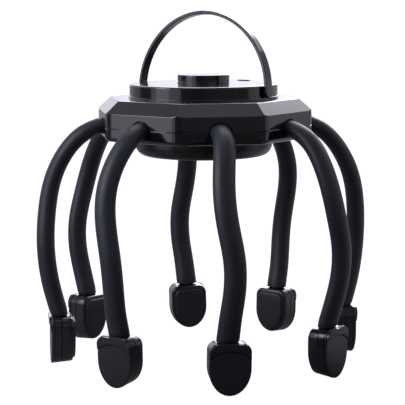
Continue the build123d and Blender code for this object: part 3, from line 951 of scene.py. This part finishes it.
# %% Model the visor
visor_out, visor_in, visor_sunk = 1.05 * mm, 0.3 * mm, 0.85 * mm
lean_back = math.atan2(0.75, 7.8)  # three quarters of a millimetre over the visor's height
visor_edge = (0, waist_to_top, -half_thick - visor_out)
visor = outline("visor", half=head_half - visor_in, top=waist_to_top - visor_in)
bpy.ops.transform.translate(value=(0, 0, -half_thick + visor_sunk))
thickness = {"value": (0, 0, -visor_out - visor_sunk)}
bpy.ops.mesh.extrude_region_move(TRANSFORM_OT_translate=thickness)
bpy.ops.transform.rotate(value=lean_back, orient_axis="X", center_override=visor_edge)
close_up()

bpy.ops.object.select_all(action="DESELECT")
bpy.ops.mesh.primitive_cylinder_add(
    vertices=160, radius=visor_arc, depth=20 * mm, location=arc_centre
)
cut_away(visor, bpy.context.object)
soften = visor.modifiers.new("soften", "BEVEL")
soften.width, soften.segments, soften.limit_method = 0.4 * mm, 4, "ANGLE"
soften.angle_limit = math.radians(40)
bpy.ops.object.modifier_apply(modifier="soften")

bpy.ops.object.select_all(action="DESELECT")
visor.select_set(True)
cover.select_set(True)
bpy.context.view_layer.objects.active = cover
bpy.ops.object.join()
smooth(35)
print("with its visor the cover has", len(cover.data.polygons), "faces")

# %% [markdown]
# ## The inner shell
#
# The inner shell closes the head on the scalp side. Its rings begin with the floor of its hollow,
# come out at the seam, turn over and run up to a rounded rim, where the face is let in for the
# pad. A gap of a twentieth of a millimetre at the seam gives the thin line between the halves.

# %% Model the inner shell
shell = outline("inner_shell")
through_rings(
    shell,
    [
        walled(3.2, 2.2, 0.6),
        walled(seam + 0.05, 1.8, 0.3),
        walled(seam + 0.05, 0.5, 0.25),
        walled(seam + 0.30, 0.25, 0.25),
    ]
    + rounding(half_thick / mm, 1.5, -1, 0.35, 0.35, 0.95)[::-1]
    + [walled(5.9, 2.1, 0.6), walled(4.9, 2.1, 0.6)],
)
print("the inner shell has", len(shell.data.polygons), "faces")

# %% [markdown]
# ## The contact pad
#
# The pad is a soft rubber plate that lies in the shell and stands a little proud of it. Its edge
# is a generous round, and four more rings give its face a crown of a quarter of a millimetre. A
# flat face would look hard. The crown bends the reflection as soft rubber does.

# %% Model the contact pad
pad_face, pad_foot = half_thick / mm + 1.2, 0.6
pad = outline("soft_pad")
edge = rounding(pad_face, 1.1, -1, 2.2, 2.2, 2.2 + pad_foot)[::-1]
crown = [
    walled(pad_face + lift, inset, pad_foot)
    for lift, inset in ((0.10, 4.6), (0.18, 6.0), (0.23, 7.6), (0.25, 9.2))
]
through_rings(pad, [walled(4.9, 2.2, pad_foot), *edge, *crown])
print("the pad has", len(pad.data.polygons), "faces")

# %% [markdown]
# ## Eight heads
#
# The pieces are modelled lying flat. In the arm's frame they stand upright and face inwards, so
# their X becomes sideways, their Y becomes up and their Z becomes inwards. One matrix does that.
# As with the arms, each head sits a little differently, by fractions of a millimetre. The heads
# are hard and ride on their arm.

# %% Copy the heads to their places
head_middle = Vector((22.1 * mm, 1.4 * mm, head_belly - root_height))
nudges = (  # outwards, sideways and upwards, in millimetres
    (0.6, 0.8, 0.0),
    (0.0, 0.0, 0.0),
    (0.0, -0.1, -0.4),
    (0.0, -0.5, -0.5),
    (-0.3, 0.0, 0.0),
    (-0.5, 0.0, 0.0),
    (0.0, -0.15, 0.5),
    (0.0, 0.75, 0.0),
)
stand = Matrix(((0, 0, -1, 0), (-1, 0, 0, 0), (0, 1, 0, 0), (0, 0, 0, 1)))
masters = (
    (cover, "outer_cover", "moulded_cover", head_plastic, "head_plastic"),
    (shell, "inner_shell", "moulded_shell", head_plastic, "head_plastic"),
    (pad, "contact_pad", "soft_pad", pad_rubber, "pad_rubber"),
)
for number, (place, nudge) in enumerate(zip(places, nudges), start=1):
    hung = place @ Matrix.Translation(head_middle + Vector(nudge) * mm) @ stand
    for piece, node_name, new_name, material, slot in masters:
        copied = copy_to(piece, hung, f"{new_name}_{number}", material)
        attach(copied, f"flex_arm_{number}")
        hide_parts(f"head_{number}_{node_name}")
for piece, *_ in masters:
    bpy.data.objects.remove(piece)
print("eight heads hang on the arms")

# %% [markdown]
# ## The indicator window
#
# A small lamp on the board shows through a smoked window in the cap. The window is an oval plug
# with a thin lip that lies on the cap's top. A plain oval disc would look the same from afar, but
# a rounded lip catches a small highlight. The plug starts as a cylinder. Its two halves are
# pulled apart into an oval, and its upper face is extruded outwards into the lip, then up and in,
# which rounds the lip.

# %% Model the window
cap_top, lens_orbit, lens_angle = 150.4 * mm, 32.9 * mm, math.radians(83.5)
lens_long, lens_short, lens_deep, lip = 3.55 * mm, 1.75 * mm, 2.4 * mm, 0.45 * mm
lip_rings = ((0.16, 1.0), (0.10, 0.97), (0.06, 0.90))  # rise in millimetres, shrink


def grow(rise, across, lengthways):
    """Extrudes the selected face upwards and scales it."""
    bpy.ops.mesh.extrude_region_move(TRANSFORM_OT_translate={"value": (0, 0, rise * mm)})
    bpy.ops.transform.resize(value=(across, lengthways, 1))


bpy.ops.object.select_all(action="DESELECT")
bpy.ops.mesh.primitive_cylinder_add(vertices=48, radius=lens_short, depth=lens_deep)
window = bpy.context.object
window.name = "window"
edit(window)
select_by(window, "VERT", lambda vertex: vertex.co.y > hair)
bpy.ops.transform.translate(value=(0, lens_long - lens_short, 0))
select_by(window, "VERT", lambda vertex: vertex.co.y < hair)
bpy.ops.transform.translate(value=(0, lens_short - lens_long, 0))
select_by(window, "FACE", lambda face: face.normal.z > 0.9)
grow(0, (lens_short + lip) / lens_short, (lens_long + lip) / lens_long)
for rise, shrink in lip_rings:
    grow(rise, shrink, (shrink + 1) / 2)
close_up()
smooth(50)

around = Matrix.Rotation(lens_angle, 4, "Z")
seat = Matrix.Translation((lens_orbit, 0, cap_top - lens_deep / 2 + hair))
placed = copy_to(window, around @ seat, "smoked_window", small["smoked_lens"])
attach(placed, "housing")
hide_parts("indicator_lens")
bpy.data.objects.remove(window)
print("the window is in the cap")
